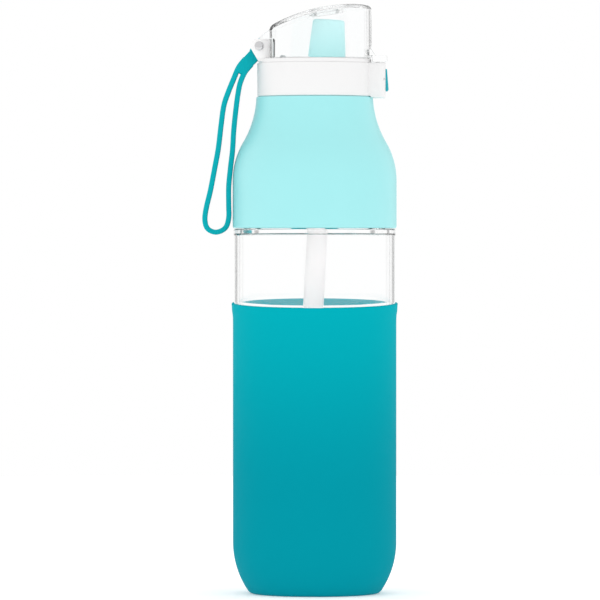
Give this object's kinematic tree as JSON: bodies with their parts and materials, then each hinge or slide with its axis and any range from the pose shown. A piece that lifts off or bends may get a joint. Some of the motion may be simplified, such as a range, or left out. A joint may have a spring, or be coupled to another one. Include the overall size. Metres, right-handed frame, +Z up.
{
  "type": "glass water bottle",
  "caption": "Glass water bottle in a silicone sleeve, with a screw-on shoulder, a straw spout under a clear flip dome, a push-button latch and a carry strap.",
  "frame": {"origin": "centre of the flat base, on the bottle's axis", "axes": "+Z up along the bottle; +X towards the latch button, -X towards the hinge and strap"},
  "size_m": [0.0861, 0.0733, 0.2587],
  "materials": {
    "sleeve_silicone": "matte",
    "clear_glass": "polished",
    "seal_silicone": "matte",
    "pastel_plastic": "satin",
    "white_plastic": "satin",
    "spout_silicone": "matte",
    "frosted_plastic": "frosted",
    "pin_steel": "polished",
    "spring_steel": "bright",
    "button_plastic": "satin",
    "clear_plastic": "clear",
    "clear_silicone": "satin",
    "strap_silicone": "matte"
  },
  "bodies": {
    "sleeve": {"silicone_sleeve": "sleeve_silicone"},
    "vessel": {"glass_body": "clear_glass"},
    "shoulder_ring": {"shoulder_gasket": "seal_silicone"},
    "shoulder": {"shoulder": "pastel_plastic"},
    "lid_ring": {"lid_gasket": "seal_silicone"},
    "lid": {"lid_collar": "white_plastic", "lid_deck": "white_plastic", "spout": "spout_silicone", "spout_retainer": "white_plastic", "straw": "frosted_plastic", "vent_valve": "seal_silicone", "hinge_pin": "pin_steel", "hinge_pin_cap": "pin_steel", "hinge_spring": "spring_steel", "latch_pin": "pin_steel", "latch_spring": "spring_steel"},
    "dome": {"dome_cover": "clear_plastic", "spout_seal": "clear_silicone"},
    "button": {"latch_button": "button_plastic"},
    "strap": {"carry_strap": "strap_silicone"}
  },
  "joints": [
    {"name": "vessel_lift", "type": "slide", "parent": "sleeve", "child": "vessel", "axis": [0, 0, 1], "range_m": [0, 0.135]},
    {"name": "shoulder_lift", "type": "slide", "parent": "vessel", "child": "shoulder_ring", "axis": [0, 0, 1], "range_m": [0, 0.00601]},
    {"name": "shoulder_twist", "type": "hinge", "parent": "shoulder_ring", "child": "shoulder", "pos_m": [0, 0, 0.17], "axis": [0, 0, 1], "range_deg": [0, 540]},
    {"name": "lid_lift", "type": "slide", "parent": "shoulder", "child": "lid_ring", "axis": [0, 0, 1], "range_m": [0, 0.00601]},
    {"name": "lid_twist", "type": "hinge", "parent": "lid_ring", "child": "lid", "pos_m": [0, 0, 0.226], "axis": [0, 0, 1], "range_deg": [0, 540]},
    {"name": "dome_flip", "type": "hinge", "parent": "lid", "child": "dome", "pos_m": [-0.0243, 0, 0.2405], "axis": [0, -1, 0], "range_deg": [0, 105]},
    {"name": "button_press", "type": "hinge", "parent": "lid", "child": "button", "pos_m": [0.03, 0, 0.226], "axis": [0, 1, 0], "range_deg": [0, 8], "stiffness_Nm_per_rad": 0.02, "springref_deg": -2.86, "deforming": ["latch_spring"]},
    {"name": "strap_swing", "type": "hinge", "parent": "lid", "child": "strap", "pos_m": [-0.0243, 0, 0.2405], "axis": [0, 1, 0], "range_deg": [0, 45]}
  ],
  "couplings": [
    {"joint": "shoulder_lift", "follows": "shoulder_twist", "m_per_rad": 0.00063662},
    {"joint": "lid_lift", "follows": "lid_twist", "m_per_rad": 0.00063662}
  ]
}
